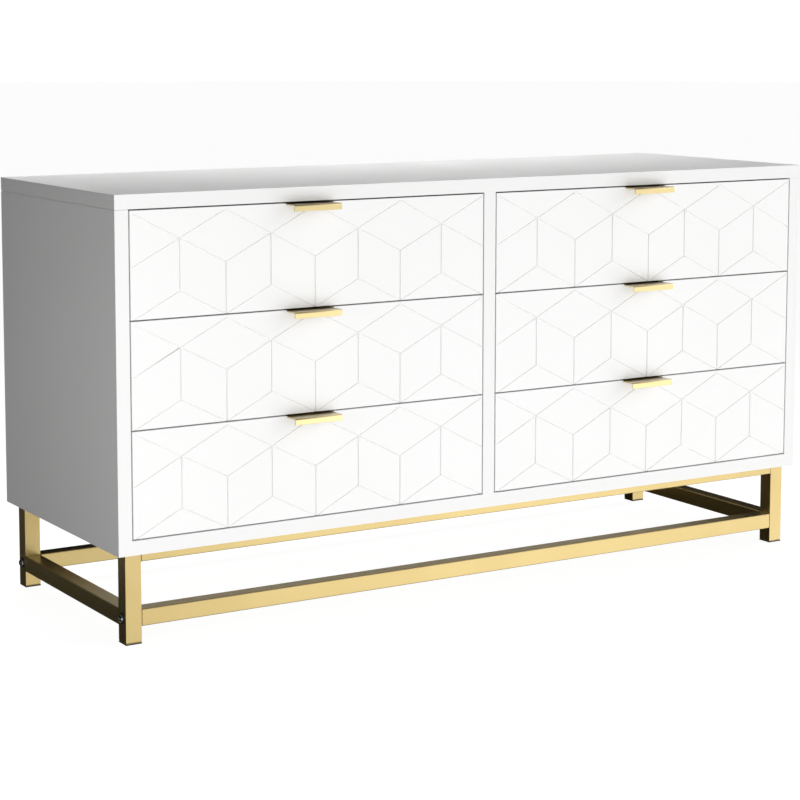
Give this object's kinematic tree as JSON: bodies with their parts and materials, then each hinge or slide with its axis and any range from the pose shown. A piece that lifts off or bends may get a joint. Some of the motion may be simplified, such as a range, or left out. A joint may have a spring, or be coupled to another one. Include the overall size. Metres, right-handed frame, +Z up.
{
  "type": "dresser with drawers",
  "caption": "Low wide dresser: white cabinet with flush grooved drawer fronts, gold edge pulls, drawers on side runners and an open gold tube frame with stretchers.",
  "frame": {"origin": "on the floor, in the middle of the whole object, pulls included", "axes": "+X along the front to the viewer's right, -Y out of the drawer fronts, +Z up"},
  "size_m": [1.5, 0.536, 0.77],
  "materials": {
    "paint_white": "white satin paint on fibreboard",
    "paint_front": "white satin paint on fibreboard, with V grooves cut in the face",
    "back_white": "white faced hardboard",
    "box_wood": "pale laminated board",
    "frame_gold": "satin gold lacquer on steel tube",
    "pull_gold": "satin gold lacquer on bent steel",
    "runner_steel": "zinc plated steel",
    "screw_steel": "zinc plated steel",
    "bolt_chrome": "polished chrome",
    "washer_black": "black plastic washer",
    "cap_black": "black plastic cap"
  },
  "bodies": {
    "cabinet": {"top_panel": "paint_white", "bottom_panel": "paint_white", "side_panel_left": "paint_white", "side_panel_right": "paint_white", "centre_divider": "paint_white", "back_panel": "back_white", "cam_locks": "screw_steel", "cabinet_runners_left": "runner_steel", "cabinet_runners_right": "runner_steel", "cabinet_screws": "screw_steel", "leg_front_left": "frame_gold", "leg_front_right": "frame_gold", "leg_rear_left": "frame_gold", "leg_rear_right": "frame_gold", "stretcher_front": "frame_gold", "stretcher_rear": "frame_gold", "stretcher_left": "frame_gold", "stretcher_right": "frame_gold", "rail_front": "frame_gold", "rail_rear": "frame_gold", "corner_plates": "frame_gold", "foot_caps": "cap_black", "frame_bolts": "bolt_chrome", "frame_washers": "washer_black"},
    "drawer_top_left": {"drawer_top_left_front": "paint_front", "drawer_top_left_box": "box_wood", "drawer_top_left_floor": "box_wood", "drawer_top_left_pull": "pull_gold", "drawer_top_left_runners": "runner_steel", "drawer_top_left_screws": "screw_steel"},
    "drawer_middle_left": {"drawer_middle_left_front": "paint_front", "drawer_middle_left_box": "box_wood", "drawer_middle_left_floor": "box_wood", "drawer_middle_left_pull": "pull_gold", "drawer_middle_left_runners": "runner_steel", "drawer_middle_left_screws": "screw_steel"},
    "drawer_bottom_left": {"drawer_bottom_left_front": "paint_front", "drawer_bottom_left_box": "box_wood", "drawer_bottom_left_floor": "box_wood", "drawer_bottom_left_pull": "pull_gold", "drawer_bottom_left_runners": "runner_steel", "drawer_bottom_left_screws": "screw_steel"},
    "drawer_top_right": {"drawer_top_right_front": "paint_front", "drawer_top_right_box": "box_wood", "drawer_top_right_floor": "box_wood", "drawer_top_right_pull": "pull_gold", "drawer_top_right_runners": "runner_steel", "drawer_top_right_screws": "screw_steel"},
    "drawer_middle_right": {"drawer_middle_right_front": "paint_front", "drawer_middle_right_box": "box_wood", "drawer_middle_right_floor": "box_wood", "drawer_middle_right_pull": "pull_gold", "drawer_middle_right_runners": "runner_steel", "drawer_middle_right_screws": "screw_steel"},
    "drawer_bottom_right": {"drawer_bottom_right_front": "paint_front", "drawer_bottom_right_box": "box_wood", "drawer_bottom_right_floor": "box_wood", "drawer_bottom_right_pull": "pull_gold", "drawer_bottom_right_runners": "runner_steel", "drawer_bottom_right_screws": "screw_steel"}
  },
  "joints": [
    {"name": "drawer_top_left_slide", "type": "slide", "parent": "cabinet", "child": "drawer_top_left", "axis": [0, -1, 0], "range_m": [0, 0.33]},
    {"name": "drawer_middle_left_slide", "type": "slide", "parent": "cabinet", "child": "drawer_middle_left", "axis": [0, -1, 0], "range_m": [0, 0.33]},
    {"name": "drawer_bottom_left_slide", "type": "slide", "parent": "cabinet", "child": "drawer_bottom_left", "axis": [0, -1, 0], "range_m": [0, 0.33]},
    {"name": "drawer_top_right_slide", "type": "slide", "parent": "cabinet", "child": "drawer_top_right", "axis": [0, -1, 0], "range_m": [0, 0.33]},
    {"name": "drawer_middle_right_slide", "type": "slide", "parent": "cabinet", "child": "drawer_middle_right", "axis": [0, -1, 0], "range_m": [0, 0.33]},
    {"name": "drawer_bottom_right_slide", "type": "slide", "parent": "cabinet", "child": "drawer_bottom_right", "axis": [0, -1, 0], "range_m": [0, 0.33]}
  ]
}
